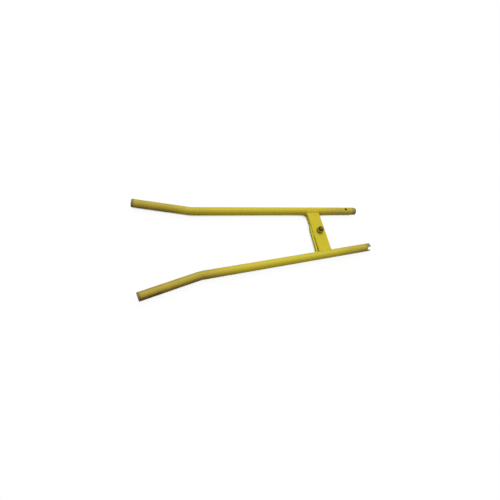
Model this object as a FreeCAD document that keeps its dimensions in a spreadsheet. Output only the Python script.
import FreeCAD, Part
import math
import os
import Sketcher

# Push-handle frame of a beam trolley: two bent tubes, a folded crossmember
# welded between them near their notched tips, a stay bar behind it, and one
# bolted joint in the middle of the crossmember.
#
# Frame, millimetres: +Z up, z = 0 is the floor the tubes lie on, +X points
# from the hand ends to the notched tips, +Y is the side of the left tube. The
# origin is the centre of the footprint.

V = FreeCAD.Vector
doc = FreeCAD.newDocument("HandleFrame")

# ---------------------------------------------------------------------------
# Spreadsheet
# ---------------------------------------------------------------------------
# alias, value, what it is
DIMENSIONS = [
    # handle tubes
    ("tube_od", 42.4, "outside diameter of both handle tubes"),
    ("tube_wall", 3.2, "wall of both handle tubes"),
    ("tip_spacing", 238.43, "distance between the tube centres at the tips"),
    ("tip_x", 616.33, "where the tube centres end at the tips"),
    ("splay_angle", 3.73, "half angle between the straight tubes, degrees"),
    ("front_length", 944.7, "tip to bend vertex"),
    ("bend_angle", 9.79, "outward bend, degrees"),
    ("bend_radius", 170.0, "centreline radius of the bend"),
    ("hand_length", 294.7, "bend vertex to hand end"),
    ("axis_height", 21.2, "height of the tube centres above the floor"),
    ("end_break", 0.6, "broken edge round the hand end"),
    # notches and pin hole at the tips
    ("notch_width", 18.0, "width of the notch across a tip"),
    ("notch_depth", 19.5, "depth of the notch from the tip"),
    ("notch_tilt", 46.0, "tilt of the notch from vertical, degrees"),
    ("notch_lip", 6.0, "how far the notch outline runs out past the tip"),
    ("pin_hole_dia", 14.0, "locking pin hole"),
    ("pin_hole_back", 65.0, "locking pin hole to the left tip"),
    # crossmember
    ("cross_back", 273.13, "crossmember centre to the tips"),
    ("cross_width", 75.0, "width of the channel over its flanges"),
    ("cross_top", 15.7, "top face above the tube centres"),
    ("cross_depth", 21.0, "depth of the channel"),
    ("plate_thick", 5.0, "plate thickness"),
    ("fold_radius", 7.0, "outside radius of the folds"),
    ("blank_half", 132.0, "half length of the channel before coping"),
    ("cope_gap", 0.3, "root gap between the coped ends and the tubes"),
    ("short_flange", 102.0, "where the hand-side flange stops on the right"),
    ("relief_margin", 5.0, "how far the relief outline runs out past the blank"),
    ("bolt_offset", 2.5, "bolt ahead of the crossmember's centre line"),
    ("bolt_hole_dia", 22.0, "clearance hole for the bolt"),
    # stay bar
    ("stay_thick", 8.0, "stay bar thickness"),
    ("stay_height", 15.0, "stay bar height"),
    ("stay_left", 38.0, "left end of the bar from the middle"),
    ("stay_right", 128.0, "right end of the bar from the middle, before coping"),
    ("stay_stand_off", 5.0, "gap ahead of the bar at its right end"),
    ("stay_bevel", 16.0, "length of the bevel on the left end"),
    ("stay_base", 6.3, "underside of the bar below the tube centres"),
    ("stay_round", 0.8, "rounding of the bar's long hand-side edges"),
    # bolted joint
    ("bolt_length", 35.0, "length under the head"),
    ("bolt_radius", 9.95, "thread crest radius of the bolt"),
    ("thread_root", 8.55, "thread root radius of the bolt"),
    ("thread_pitch", 2.5, "thread pitch"),
    ("thread_count", 13.0, "thread turns modelled"),
    ("head_height", 12.5, "bolt head height"),
    ("hex_flats", 30.0, "across flats, head and nut"),
    ("nut_height", 18.0, "nut height"),
    ("nut_bore", 10.0, "radius of the nut's bore"),
    ("nut_mouth", 0.8, "chamfer at both ends of the nut's bore"),
    ("washer_od", 37.0, "washer outside diameter"),
    ("washer_id", 21.0, "washer inside diameter"),
    ("washer_thick", 3.0, "washer thickness"),
    ("washer_break", 0.4, "chamfer of the washer's outer edges"),
    # welds
    ("weld_radius", 6.0, "radius of the long seam beads"),
    ("weld_sink", 2.2, "how far a long bead's centre lies under the surfaces"),
    ("weld_trim", 0.01, "gap between a trimmed bead and its tube"),
    ("seam_half", 33.0, "half length of the long seams"),
    ("corner_weld", 5.5, "radius of the upright corner beads"),
    ("stitch_radius", 3.6, "radius of the stay bar's stitches"),
    ("stitch_length", 16.0, "length of the stay bar's stitches"),
]

# alias, formula, what it is
DERIVED = [
    # handle tubes
    ("tube_radius", "=tube_od / 2", "outside radius of a tube"),
    ("tube_inside", "=tube_od / 2 - tube_wall", "inside radius of a tube"),
    ("setback", "=bend_radius * tan(bend_angle * 0.5 deg)", "bend vertex to bend end"),
    ("straight_length", "=front_length - setback", "straight part from the tip"),
    ("hand_back", "=(hand_length - setback) * cos(bend_angle * 1 deg)", "hand part along X"),
    ("hand_out", "=(hand_length - setback) * sin(bend_angle * 1 deg)", "hand part along Y"),
    ("tip_y", "=tip_spacing / 2", "tip centre from the middle"),
    ("notch_half", "=notch_width / 2", "half width of the notch"),
    ("notch_centre", "=notch_depth - notch_half", "centre of the notch's round floor"),
    ("pin_radius", "=pin_hole_dia / 2", "radius of the pin hole"),
    # crossmember
    ("cross_x", "=tip_x - cross_back", "centre line of the crossmember"),
    ("cross_half", "=cross_width / 2", "outer face of a flange"),
    ("cross_inner", "=cross_half - plate_thick", "inner face of a flange"),
    ("cross_under", "=cross_top - plate_thick", "underside of the web"),
    ("flange_drop", "=cross_depth - cross_top", "flange edge below the tube centres"),
    ("blank_length", "=2 * blank_half", "channel before coping"),
    ("inner_fold", "=fold_radius - plate_thick", "inside radius of the folds"),
    ("bolt_hole_radius", "=bolt_hole_dia / 2", "radius of the clearance hole"),
    ("relief_low", "=flange_drop + relief_margin", "bottom of the relief outline"),
    ("relief_high", "=cross_top - fold_radius", "top of the relief, at the fold"),
    ("relief_end", "=blank_half + relief_margin", "outer end of the relief outline"),
    ("cope_radius", "=tube_radius + cope_gap", "radius of the copes"),
    ("rod_radius", "=tube_radius + weld_trim", "radius that trims the beads"),
    ("rod_length", "=front_length * 0.8", "length of the rods standing for the tubes"),
    # stay bar
    ("stay_x", "=cross_x - cross_half", "face the bar lies against"),
    ("stay_z", "=axis_height - stay_base", "underside of the bar"),
    ("bevel_start", "=stay_left - stay_bevel", "where the bevel starts"),
    ("bevel_nose", "=stay_thick / 3", "thickness left at the bevelled end"),
    ("stay_far", "=stay_thick + stay_stand_off", "hand-side face at the right end"),
    # bolted joint
    ("bolt_x", "=cross_x + bolt_offset", "axis of the bolt"),
    ("plate_top", "=axis_height + cross_top", "top face, seat of the top washer"),
    ("nut_seat", "=plate_top + washer_thick", "seat of the nut"),
    ("head_seat", "=plate_top - plate_thick - washer_thick", "seat of the bolt head"),
    ("hex_corner", "=hex_flats / sqrt(3)", "centre of a hexagon to its corner"),
    ("hex_side", "=hex_flats / sqrt(12)", "half a side of a hexagon"),
    ("hex_face", "=hex_flats / 2", "centre of a hexagon to its flat"),
    ("hex_cut_in", "=hex_face * 0.96", "inner end of the hexagon's chamfer"),
    ("hex_cut_out", "=hex_face * 1.25", "outer end, clear of the corners"),
    ("hex_cut_rise", "=(hex_cut_out - hex_cut_in) * tan(30 deg)", "drop of the chamfer"),
    ("head_cut", "=head_height - hex_cut_rise", "foot of the head's chamfer"),
    ("nut_cut", "=nut_height - hex_cut_rise", "foot of the nut's chamfer"),
    ("point_in", "=thread_root - 0.1", "radius of the bolt's flat end"),
    ("point_out", "=bolt_radius + 0.5", "outer end of the point's bevel"),
    ("point_foot", "=bolt_length - (point_out - point_in)", "foot of the 45 degree bevel"),
    ("vee_z", "=bolt_length - 0.9 * thread_pitch", "root of the first groove"),
    ("vee_top", "=vee_z + 0.44 * thread_pitch", "upper lip of the first groove"),
    ("vee_low", "=vee_z - 0.44 * thread_pitch", "lower lip of the first groove"),
    ("vee_out", "=bolt_radius + 0.05", "open side of the groove"),
    ("thread_length", "=thread_pitch * (thread_count - 1)", "first to last groove"),
    ("washer_radius", "=washer_od / 2", "outside radius of a washer"),
    ("washer_hole", "=washer_id / 2", "inside radius of a washer"),
    # welds
    ("seam_length", "=2 * seam_half", "length of the long seams"),
    ("corner_length", "=cross_depth - fold_radius", "length of the corner beads"),
    ("end_length", "=stay_height - 2", "length of the stay's upright stitches"),
]

sheet = doc.addObject("Spreadsheet::Sheet", "Params")
sheet.set("A1", "dimension")
sheet.set("B1", "value")
sheet.set("C1", "what it is")


def fill_sheet(table, first_row):
    for row, (name, content, words) in enumerate(table, start=first_row):
        sheet.set("A%d" % row, name)
        sheet.set("B%d" % row, content if isinstance(content, str) else repr(content))
        sheet.setAlias("B%d" % row, name)
        sheet.set("C%d" % row, words)
    doc.recompute()


fill_sheet(DIMENSIONS, 2)
fill_sheet(DERIVED, 2 + len(DIMENSIONS))


def dim(name):
    """The value of a cell, by its alias."""
    return float(sheet.get(name))


def signed(word):
    """The value of a coordinate written as 0, "alias" or "-alias"."""
    if word == 0:
        return 0
    return -dim(word[1:]) if word.startswith("-") else dim(word)


def link(item, prop, alias):
    item.setExpression(prop, "Params." + alias)


# ---------------------------------------------------------------------------
# Sketch helpers
# ---------------------------------------------------------------------------
def new_body(name, label):
    body = doc.addObject("PartDesign::Body", name)
    body.Label = label
    return body


def origin_feature(body, role):
    for item in body.Origin.OriginFeatures:
        if item.Role == role:
            return item
    raise ValueError(role)


def new_sketch(body, name, plane):
    sketch = body.newObject("Sketcher::SketchObject", name)
    sketch.AttachmentSupport = [(origin_feature(body, plane), "")]
    sketch.MapMode = "FlatFace"
    return sketch


def drive(sketch, name, alias, kind, *where):
    """Add a named dimension that follows a cell of the sheet."""
    index = sketch.addConstraint(Sketcher.Constraint(kind, *where, dim(alias)))
    sketch.renameConstraint(index, name)
    link(sketch, "Constraints." + name, alias)


def place_point(sketch, geo, pos, name, x, y):
    """Dimension a point from the origin; a coordinate of 0 puts it on the axis."""
    for letter, kind, axis, word in (("x", "DistanceX", -2, x), ("y", "DistanceY", -1, y)):
        if word == 0:
            sketch.addConstraint(Sketcher.Constraint("PointOnObject", geo, pos, axis))
        elif signed(word) > 0:
            drive(sketch, name + letter, word, kind, -1, 1, geo, pos)
        else:
            drive(sketch, name + letter, word[1:], kind, geo, pos, -1, 1)


def add_polygon(sketch, points):
    """A closed outline of straight lines through (x, y) coordinate words."""
    corners = [V(signed(x), signed(y), 0) for x, y in points]
    count = len(corners)
    for i in range(count):
        line = Part.LineSegment(corners[i], corners[(i + 1) % count])
        sketch.addGeometry(line, False)
    for i in range(count):
        sketch.addConstraint(Sketcher.Constraint("Coincident", i, 2, (i + 1) % count, 1))
    for i, (x, y) in enumerate(points):
        place_point(sketch, i, 1, "p%d" % i, x, y)


def add_circle(sketch, name, radius, x=0):
    """A circle centred on the sketch's X axis."""
    circle = Part.Circle(V(signed(x), 0, 0), V(0, 0, 1), dim(radius))
    geo = sketch.addGeometry(circle, False)
    place_point(sketch, geo, 3, name + "_c", x, 0)
    drive(sketch, name, radius, "Radius", geo)


def polygon_sketch(body, name, plane, points):
    sketch = new_sketch(body, name, plane)
    add_polygon(sketch, points)
    return sketch


def circle_sketch(body, name, radius, x=0):
    sketch = new_sketch(body, name, "XY_Plane")
    add_circle(sketch, "radius", radius, x)
    return sketch


# ---------------------------------------------------------------------------
# Feature helpers
# ---------------------------------------------------------------------------
def pad(body, name, sketch, length, symmetric=False, down=False):
    doc.recompute()
    feature = body.newObject("PartDesign::Pad", name)
    feature.Profile = sketch
    feature.Length = 10.0
    if symmetric:
        feature.SideType = "Symmetric"
    feature.Reversed = down
    link(feature, "Length", length)
    doc.recompute()


def pocket_through(body, sketch):
    """A cut right through the body, both ways from the sketch."""
    doc.recompute()
    before = body.Shape.Volume
    feature = body.newObject("PartDesign::Pocket", sketch.Name + "_cut")
    feature.Profile = sketch
    feature.Type = "Length"
    feature.SideType = "Symmetric"
    feature.Length = 400.0
    doc.recompute()
    assert body.Shape.Volume < before - 1.0, sketch.Name + " cut nothing"


def groove(body, name, points):
    """A cut turned right round the body's Z axis."""
    sketch = polygon_sketch(body, name + "_profile", "XZ_Plane", points)
    doc.recompute()
    before = body.Shape.Volume
    feature = body.newObject("PartDesign::Groove", name)
    feature.Profile = sketch
    feature.ReferenceAxis = (origin_feature(body, "Z_Axis"), [""])
    feature.Angle = 360.0
    doc.recompute()
    assert body.Shape.Volume < before - 0.1, name + " cut nothing"
    return feature


def edge_numbers(shape, test):
    return [i for i, edge in enumerate(shape.Edges, start=1) if test(edge)]


def circle_of(radius, centre=None):
    """A test for circular edges of a radius, about a centre if one is given."""

    def test(edge):
        return (
            edge.Curve.TypeId == "Part::GeomCircle"
            and abs(edge.Curve.Radius - radius) < 0.01
            and (centre is None or (edge.Curve.Center - centre).Length < 0.05)
        )

    return test


def dress_edges(body, kind, name, test, prop, size):
    """Fillet or chamfer the edges of the body's tip that pass the test."""
    base = body.Tip
    names = ["Edge%d" % number for number in edge_numbers(base.Shape, test)]
    assert names, name + " found no edge"
    feature = body.newObject("PartDesign::" + kind, name)
    feature.Base = (base, names)
    link(feature, prop, size)
    doc.recompute()


def place(item, x, z):
    """Put an item on the middle plane, its x and z following the sheet."""
    item.Placement = FreeCAD.Placement(V(dim(x), 0, dim(z)), FreeCAD.Rotation())
    link(item, "Placement.Base.x", x)
    link(item, "Placement.Base.z", z)
    doc.recompute()


def cylinder(name, radius, height):
    item = doc.addObject("Part::Cylinder", name)
    link(item, "Radius", radius)
    link(item, "Height", height)
    return item


def cut(name, label, base, tool):
    result = doc.addObject("Part::Cut", name)
    result.Base = base
    result.Tool = tool
    result.Label = label
    doc.recompute()
    return result


# ---------------------------------------------------------------------------
# Handle tubes
# ---------------------------------------------------------------------------
# Local frame of a tube: origin at the tip centre, the tube runs along -X and
# then bends towards its own outside (side = +1 is +Y, -1 is -Y).
def tube_path(body, name, side):
    """The centre line: straight, bend, straight."""
    radius, bend = dim("bend_radius"), math.radians(dim("bend_angle"))
    straight = dim("straight_length")
    middle = V(-straight, side * radius, 0)
    bend_start = V(-straight, 0, 0)
    bend_end = middle + V(-radius * math.sin(bend), -side * radius * math.cos(bend), 0)
    hand_end = bend_end + V(-dim("hand_back"), side * dim("hand_out"), 0)
    # arcs run anticlockwise, so the end nearer the tip depends on the side
    if side > 0:
        first_angle, near, far = 1.5 * math.pi - bend, 2, 1
        rise = (2, 1, 2, 2)
    else:
        first_angle, near, far = 0.5 * math.pi, 1, 2
        rise = (2, 2, 2, 1)
    circle = Part.Circle(middle, V(0, 0, 1), radius)

    path = new_sketch(body, name + "_path", "XY_Plane")
    path.addGeometry(Part.LineSegment(V(0, 0, 0), bend_start), False)
    path.addGeometry(Part.ArcOfCircle(circle, first_angle, first_angle + bend), False)
    path.addGeometry(Part.LineSegment(bend_end, hand_end), False)
    path.addConstraint(Sketcher.Constraint("Coincident", 0, 1, -1, 1))
    path.addConstraint(Sketcher.Constraint("Horizontal", 0))
    drive(path, "straight", "straight_length", "Distance", 0)
    path.addConstraint(Sketcher.Constraint("Tangent", 0, 2, 1, near))
    drive(path, "bend_r", "bend_radius", "Radius", 1)
    path.addConstraint(Sketcher.Constraint("Tangent", 1, far, 2, 1))
    drive(path, "hand_x", "hand_back", "DistanceX", 2, 2, 2, 1)
    drive(path, "hand_y", "hand_out", "DistanceY", *rise)
    return path


def cut_notch(body, name, side):
    """A U across the tip, leaning to the tube's outside at the top."""
    notch = new_sketch(body, name + "_notch", "XY_Plane")
    notch.AttachmentOffset = FreeCAD.Placement(V(), FreeCAD.Rotation(V(-side, 0, 0), 10.0))
    notch.setExpression("AttachmentOffset.Rotation.Angle", "Params.notch_tilt * 1 deg")
    half, floor, lip = dim("notch_half"), -dim("notch_centre"), dim("notch_lip")
    corners = [V(floor, half, 0), V(lip, half, 0), V(lip, -half, 0), V(floor, -half, 0)]
    for start, end in zip(corners, corners[1:]):
        notch.addGeometry(Part.LineSegment(start, end), False)
    circle = Part.Circle(V(floor, 0, 0), V(0, 0, 1), half)
    notch.addGeometry(Part.ArcOfCircle(circle, 0.5 * math.pi, 1.5 * math.pi), False)
    notch.addConstraint(Sketcher.Constraint("Coincident", 0, 2, 1, 1))
    notch.addConstraint(Sketcher.Constraint("Coincident", 1, 2, 2, 1))
    notch.addConstraint(Sketcher.Constraint("Vertical", 1))
    notch.addConstraint(Sketcher.Constraint("Tangent", 2, 2, 3, 2))
    notch.addConstraint(Sketcher.Constraint("Tangent", 3, 1, 0, 1))
    place_point(notch, 3, 3, "floor", "-notch_centre", 0)
    drive(notch, "half_width", "notch_half", "Radius", 3)
    notch.addConstraint(Sketcher.Constraint("Horizontal", 0))
    drive(notch, "lip", "notch_lip", "DistanceX", -1, 1, 1, 1)
    pocket_through(body, notch)


def handle_tube(name, label, side, pin_hole):
    body = new_body(name, label)
    path = tube_path(body, name, side)
    ring = new_sketch(body, name + "_section", "YZ_Plane")
    add_circle(ring, "outer_r", "tube_radius")
    add_circle(ring, "inner_r", "tube_inside")
    doc.recompute()
    pipe = body.newObject("PartDesign::AdditivePipe", name + "_pipe")
    pipe.Profile = ring
    pipe.Spine = (path, ["Edge1", "Edge2", "Edge3"])
    doc.recompute()

    cut_notch(body, name, side)
    if pin_hole:
        hole = circle_sketch(body, name + "_pin_hole", "pin_radius", "-pin_hole_back")
        pocket_through(body, hole)

    # break the outer edge of the square-cut hand end
    bend, hand = math.radians(dim("bend_angle")), dim("hand_length")
    hand_end = V(
        -dim("front_length") - hand * math.cos(bend), side * hand * math.sin(bend), 0
    )
    outer_edge = circle_of(dim("tube_radius"), hand_end)
    dress_edges(body, "Chamfer", name + "_end_break", outer_edge, "Size", "end_break")

    # put the tip in its place and turn the tube to its splay
    body.Placement = FreeCAD.Placement(
        V(dim("tip_x"), side * dim("tip_y"), dim("axis_height")),
        FreeCAD.Rotation(V(0, 0, -side), dim("splay_angle")),
    )
    link(body, "Placement.Base.x", "tip_x")
    link(body, "Placement.Base.y", "tip_y * %d" % side)
    link(body, "Placement.Base.z", "axis_height")
    link(body, "Placement.Rotation.Angle", "splay_angle * 1 deg")
    doc.recompute()
    return body


left_tube = handle_tube("LeftTube", "left_handle_tube", 1, pin_hole=True)
right_tube = handle_tube("RightTube", "right_handle_tube", -1, pin_hole=False)

# Rods that stand for the straight tubes, to cope or trim other pieces to them
SPLAY = math.radians(dim("splay_angle"))


def hand_direction(side):
    """The direction of a straight tube from its tip towards the hand end."""
    return V(-math.cos(SPLAY), side * math.sin(SPLAY), 0)


def tube_rod(name, side, radius):
    rod = cylinder(name, radius, "rod_length")
    rod.Placement = FreeCAD.Placement(
        V(dim("tip_x"), side * dim("tip_y"), dim("axis_height")),
        FreeCAD.Rotation(V(0, 0, 1), hand_direction(side)),
    )
    doc.recompute()
    return rod


left_cope = tube_rod("LeftCope", 1, "cope_radius")
right_cope = tube_rod("RightCope", -1, "cope_radius")


# ---------------------------------------------------------------------------
# Crossmember: a channel folded from plate, its ends coped to the tubes
# ---------------------------------------------------------------------------
CHANNEL_SECTION = [
    ("-cross_half", "-flange_drop"),
    ("-cross_half", "cross_top"),
    ("cross_half", "cross_top"),
    ("cross_half", "-flange_drop"),
    ("cross_inner", "-flange_drop"),
    ("cross_inner", "cross_under"),
    ("-cross_inner", "cross_under"),
    ("-cross_inner", "-flange_drop"),
]
RELIEF_OUTLINE = [
    ("-short_flange", "-relief_low"),
    ("-short_flange", "relief_high"),
    ("-relief_end", "relief_high"),
    ("-relief_end", "-relief_low"),
]


def fold_edge(x, z):
    """A test for the long edges at +x and -x, both at height z."""

    def test(edge):
        if edge.Curve.TypeId != "Part::GeomLine":
            return False
        start, end = edge.Vertexes[0].Point, edge.Vertexes[-1].Point
        return abs(start.y - end.y) > 100 and all(
            abs(abs(p.x) - x) < 0.01 and abs(p.z - z) < 0.01 for p in (start, end)
        )

    return test


def make_crossmember():
    channel = new_body("Channel", "channel_blank")
    section = polygon_sketch(channel, "Channel_section", "XZ_Plane", CHANNEL_SECTION)
    pad(channel, "Channel_pad", section, "blank_length", symmetric=True)
    for name, x, z, radius in (
        ("Channel_folds", "cross_half", "cross_top", "fold_radius"),
        ("Channel_inner_folds", "cross_inner", "cross_under", "inner_fold"),
    ):
        dress_edges(channel, "Fillet", name, fold_edge(dim(x), dim(z)), "Radius", radius)

    hole = circle_sketch(channel, "Channel_bolt_hole", "bolt_hole_radius", "bolt_offset")
    pocket_through(channel, hole)

    # the hand-side flange stops short of the right tube, below the fold
    relief = polygon_sketch(channel, "Channel_relief", "YZ_Plane", RELIEF_OUTLINE)
    doc.recompute()
    before = channel.Shape.Volume
    relief_cut = channel.newObject("PartDesign::Pocket", "Channel_relief_cut")
    relief_cut.Profile = relief
    relief_cut.Type = "Length"
    link(relief_cut, "Length", "cross_width")
    doc.recompute()
    assert channel.Shape.Volume < before - 1, "the relief cut nothing"
    place(channel, "cross_x", "axis_height")

    coped = cut("CopedLeft", "coped_left", channel, left_cope)
    return cut("Crossmember", "crossmember", coped, right_cope)


crossmember = make_crossmember()

# ---------------------------------------------------------------------------
# Stay bar from the hand-side flange to the right tube
# ---------------------------------------------------------------------------
STAY_OUTLINE = [
    ("-stay_stand_off", "-stay_right"),
    (0, "bevel_start"),
    (0, "stay_left"),
    ("-bevel_nose", "stay_left"),
    ("-stay_thick", "bevel_start"),
    ("-stay_far", "-stay_right"),
]


def stay_long_edge(edge):
    """A long edge on the bar's hand side."""
    start, end = edge.Vertexes[0], edge.Vertexes[-1]
    limit = -dim("stay_thick") + 0.01
    return start.X < limit and end.X < limit and abs(start.Y - end.Y) > 20


def make_stay_bar():
    stay = new_body("Stay", "stay_blank")
    plan = polygon_sketch(stay, "Stay_plan", "XY_Plane", STAY_OUTLINE)
    pad(stay, "Stay_pad", plan, "stay_height")
    dress_edges(stay, "Fillet", "Stay_corners", stay_long_edge, "Radius", "stay_round")
    place(stay, "stay_x", "stay_z")
    return cut("StayBar", "stay_bar", stay, right_cope)


stay_bar = make_stay_bar()

# ---------------------------------------------------------------------------
# Bolted joint: bolt from below, washers, nut on top
# ---------------------------------------------------------------------------
# Two of the flats face along X.
HEXAGON = [
    (0, "hex_corner"),
    ("-hex_face", "hex_side"),
    ("-hex_face", "-hex_side"),
    (0, "-hex_corner"),
    ("hex_face", "-hex_side"),
    ("hex_face", "hex_side"),
]


def chamfer_corners(body, name, end, foot):
    """The 30 degree chamfer that rounds a hexagon's corners at one end."""
    groove(body, name, [("hex_cut_in", end), ("hex_cut_out", end), ("hex_cut_out", foot)])


def make_bolt():
    """Local z = 0 is the bearing face of the head; the shank points up."""
    bolt = new_body("Bolt", "centre_bolt")
    outline = polygon_sketch(bolt, "Bolt_hexagon", "XY_Plane", HEXAGON)
    pad(bolt, "Bolt_head", outline, "head_height", down=True)
    chamfer_corners(bolt, "Bolt_head_chamfer", "-head_height", "-head_cut")
    shank = circle_sketch(bolt, "Bolt_round", "bolt_radius")
    pad(bolt, "Bolt_shank", shank, "bolt_length")
    groove(
        bolt,
        "Bolt_point",
        [
            ("point_in", "bolt_length"),
            ("point_out", "bolt_length"),
            ("point_out", "point_foot"),
        ],
    )

    # the thread is a row of ring grooves, repeated from the point downwards
    first_groove = groove(
        bolt,
        "Bolt_thread",
        [("thread_root", "vee_z"), ("vee_out", "vee_top"), ("vee_out", "vee_low")],
    )
    before = bolt.Shape.Volume
    turns = bolt.newObject("PartDesign::LinearPattern", "Bolt_thread_turns")
    turns.Originals = [first_groove]
    turns.Direction = (origin_feature(bolt, "Z_Axis"), [""])
    turns.Reversed = True
    link(turns, "Occurrences", "thread_count")
    link(turns, "Length", "thread_length")
    bolt.Tip = turns
    doc.recompute()
    assert bolt.Shape.Volume < before - 100, "thread pattern cut nothing"
    place(bolt, "bolt_x", "head_seat")
    return bolt


def make_nut():
    """Local z = 0 is the bearing face."""
    nut = new_body("Nut", "centre_nut")
    outline = polygon_sketch(nut, "Nut_hexagon", "XY_Plane", HEXAGON)
    pad(nut, "Nut_blank", outline, "nut_height")
    chamfer_corners(nut, "Nut_top_chamfer", "nut_height", "nut_cut")
    pocket_through(nut, circle_sketch(nut, "Nut_bore", "nut_bore"))
    bore_edge = circle_of(dim("nut_bore"))
    dress_edges(nut, "Chamfer", "Nut_bore_mouths", bore_edge, "Size", "nut_mouth")
    place(nut, "bolt_x", "nut_seat")
    return nut


def make_washer(name, label, z):
    disc = cylinder(name + "Disc", "washer_radius", "washer_thick")
    hole = cylinder(name + "Hole", "washer_hole", "washer_thick")
    doc.recompute()
    ring = cut(name + "Ring", label + "_ring", disc, hole)
    size = dim("washer_break")
    washer = doc.addObject("Part::Chamfer", name)
    washer.Base = ring
    washer.Edges = [
        (number, size, size)
        for number in edge_numbers(ring.Shape, circle_of(dim("washer_radius")))
    ]
    washer.Label = label
    doc.recompute()
    place(washer, "bolt_x", z)
    return washer


bolt = make_bolt()
nut = make_nut()
top_washer = make_washer("TopWasher", "top_washer", "plate_top")
bottom_washer = make_washer("BottomWasher", "bottom_washer", "head_seat")

# ---------------------------------------------------------------------------
# Weld beads: round beads laid in their corners and trimmed to the pieces
# ---------------------------------------------------------------------------
END_ROUNDING = 0.45  # rounding of a bead's ends, as a share of its radius
SEAM_LEAN = 0.4  # sideways share of the direction a long bead is sunk in
CORNER_SINK_X = 1.2  # corner bead's axis behind the flange's face
CORNER_SINK_Y = 0.8  # corner bead's axis inside the tube's side
CORNER_LIFT = 0.6  # corner bead above the flange's lower edge
STITCH_SINK = 0.6  # stitch axis behind the surfaces it lies on
STITCH_MIDDLES = (16.0, -18.0)  # y of the two stitches along the bar's top
END_LIFT = 1.6  # end stitch above the bar's underside
FOOT_LIFT = 1.0  # foot stitch above the bar's underside
FOOT_BACK = 0.86  # foot stitch, as a share of the bar's stand-off
FOOT_LEVEL = 3.0  # distance from the tube's axis level at which its side is met
FOOT_GAP = 1.2  # foot stitch off the tube's side

CROSS_X = dim("cross_x")
TUBE_RADIUS = dim("tube_radius")
left_rod = tube_rod("LeftRod", 1, "rod_radius")
right_rod = tube_rod("RightRod", -1, "rod_radius")


def tube_centre_y(x, side):
    return side * (dim("tip_y") + (dim("tip_x") - x) * math.tan(SPLAY))


def bead(name, radius, length, start, direction):
    """A rod with both ends rounded off."""
    rod = cylinder(name + "Bead", radius, length)
    rod.Placement = FreeCAD.Placement(start, FreeCAD.Rotation(V(0, 0, 1), direction))
    doc.recompute()
    rounding = rod.Radius.Value * END_ROUNDING
    soft = doc.addObject("Part::Fillet", name + "Soft")
    soft.Base = rod
    soft.Edges = [
        (number, rounding, rounding)
        for number in edge_numbers(rod.Shape, circle_of(rod.Radius.Value))
    ]
    doc.recompute()
    return soft


def trim_box(name, corner, length, width, height):
    """A box that takes away what lies inside the joined pieces."""
    block = doc.addObject("Part::Box", name)
    block.Length, block.Width, block.Height = length, width, height
    block.Placement = FreeCAD.Placement(corner, FreeCAD.Rotation())
    doc.recompute()
    return block


def top_seam(name, label, side, rod):
    """A long bead between the crossmember's top face and the tube."""
    away = hand_direction(side)
    reach = math.sqrt(TUBE_RADIUS**2 - dim("cross_top") ** 2)
    junction = V(CROSS_X, tube_centre_y(CROSS_X, side) - side * reach, dim("plate_top"))
    # the bead's centre lies under both surfaces
    angle = math.atan2(dim("cross_top"), reach) / 2 + math.pi / 4
    inward = V(0, side * math.sin(angle) * SEAM_LEAN, -1).normalize()
    start = junction + inward * dim("weld_sink") - away * dim("seam_half")
    soft = bead(name, "weld_radius", "seam_length", start, away)
    trimmed = cut(name + "Tube", label + "_on_tube", soft, rod)
    under = trim_box(name + "Under", junction + V(-100, -30, -40), 200, 60, 40)
    return cut(name, label, trimmed, under)


def corner_seam(name, label, side, face, rod):
    """An upright bead between a flange's outer face and the tube.

    face is +1 at the tips' side, -1 at the hands' side.
    """
    x = CROSS_X + face * dim("cross_half")
    y = tube_centre_y(x, side) - side * TUBE_RADIUS
    low = dim("axis_height") - dim("flange_drop") + CORNER_LIFT
    start = V(x - face * CORNER_SINK_X, y + side * CORNER_SINK_Y, low)
    soft = bead(name, "corner_weld", "corner_length", start, V(0, 0, 1))
    trimmed = cut(name + "Tube", label + "_on_tube", soft, rod)
    # take away what lies behind the flange's face
    corner = V(x - 60 if face > 0 else x, y - 60, low - 10)
    inside = trim_box(name + "Inside", corner, 60, 120, 60)
    return cut(name, label, trimmed, inside)


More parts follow.
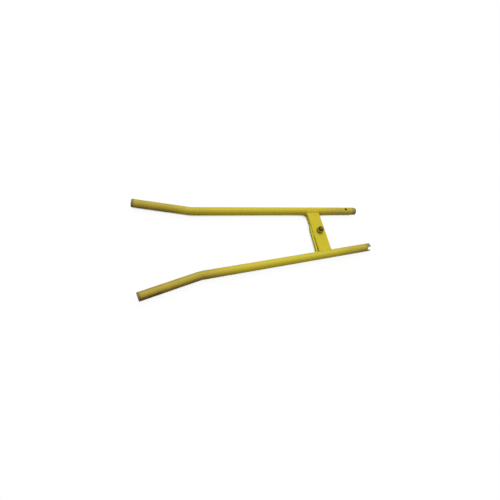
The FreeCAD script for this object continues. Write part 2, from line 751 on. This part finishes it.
def make_stay_welds():
    """Two stitches along the bar's top, one at its left end, one at its foot."""
    flange_x, bar_bottom = dim("stay_x"), dim("stay_z")
    ledge_z = bar_bottom + dim("stay_height")
    stitch_x = flange_x + STITCH_SINK
    runs = [
        bead(
            "Stitch%d" % number,
            "stitch_radius",
            "stitch_length",
            V(stitch_x, y + dim("stitch_length") / 2, ledge_z - STITCH_SINK),
            V(0, -1, 0),
        )
        for number, y in enumerate(STITCH_MIDDLES, start=1)
    ]
    end_start = V(stitch_x, dim("stay_left") - STITCH_SINK, bar_bottom + END_LIFT)
    runs.append(bead("StitchEnd", "stitch_radius", "end_length", end_start, V(0, 0, 1)))

    # down the joint between the bar's right end and the tube
    foot_x = flange_x - dim("stay_thick") - FOOT_BACK * dim("stay_stand_off")
    tube_side = tube_centre_y(foot_x, -1) + math.sqrt(TUBE_RADIUS**2 - FOOT_LEVEL**2)
    foot_start = V(foot_x + STITCH_SINK, tube_side + FOOT_GAP, bar_bottom + FOOT_LIFT)
    foot = bead("StitchFoot", "stitch_radius", "end_length", foot_start, V(0, 0, 1))

    trimmed = []
    for number, run in enumerate(runs, start=1):
        off_bar = cut(
            "StitchOffBar%d" % number, "stitch_off_bar_%d" % number, run, stay_bar
        )
        corner = V(flange_x, -150, ledge_z - 40)
        inside = trim_box("StitchInside%d" % number, corner, 40, 300, 60)
        trimmed.append(cut("StitchTrim%d" % number, "stitch_%d" % number, off_bar, inside))
    foot_off_bar = cut("FootOffBar", "foot_off_bar", foot, stay_bar)
    trimmed.append(cut("FootTrim", "foot_run", foot_off_bar, right_rod))

    welds = doc.addObject("Part::Compound", "StayWelds")
    welds.Links = trimmed
    welds.Label = "stay_welds"
    doc.recompute()
    return welds


left_top = top_seam("LeftTopWeld", "left_top_weld", 1, left_rod)
right_top = top_seam("RightTopWeld", "right_top_weld", -1, right_rod)
left_rear = corner_seam("LeftRearWeld", "left_rear_weld", 1, -1, left_rod)
left_front = corner_seam("LeftFrontWeld", "left_front_weld", 1, 1, left_rod)
right_front = corner_seam("RightFrontWeld", "right_front_weld", -1, 1, right_rod)
stay_welds = make_stay_welds()

# ---------------------------------------------------------------------------
# Check everything, then write one STEP file for each sub-part
# ---------------------------------------------------------------------------
# piece, number of solids
SUB_PARTS = [
    (left_tube, 1),
    (right_tube, 1),
    (crossmember, 1),
    (stay_bar, 1),
    (bolt, 1),
    (nut, 1),
    (top_washer, 1),
    (bottom_washer, 1),
    (left_top, 1),
    (right_top, 1),
    (left_rear, 1),
    (left_front, 1),
    (right_front, 1),
    (stay_welds, 4),
]
doc.recompute()
for item in doc.Objects:
    bad = [word for word in item.State if word in ("Invalid", "Error")]
    assert not bad, "%s (%s): %s" % (item.Name, item.Label, item.State)
for item, solids in SUB_PARTS:
    shape = item.Shape
    assert not shape.isNull() and shape.isValid(), item.Label
    found = len(shape.Solids)
    assert found == solids, "%s has %d solids" % (item.Label, found)

os.makedirs("parts", exist_ok=True)
for item, _ in SUB_PARTS:
    item.Shape.exportStep(os.path.join("parts", item.Label + ".step"))
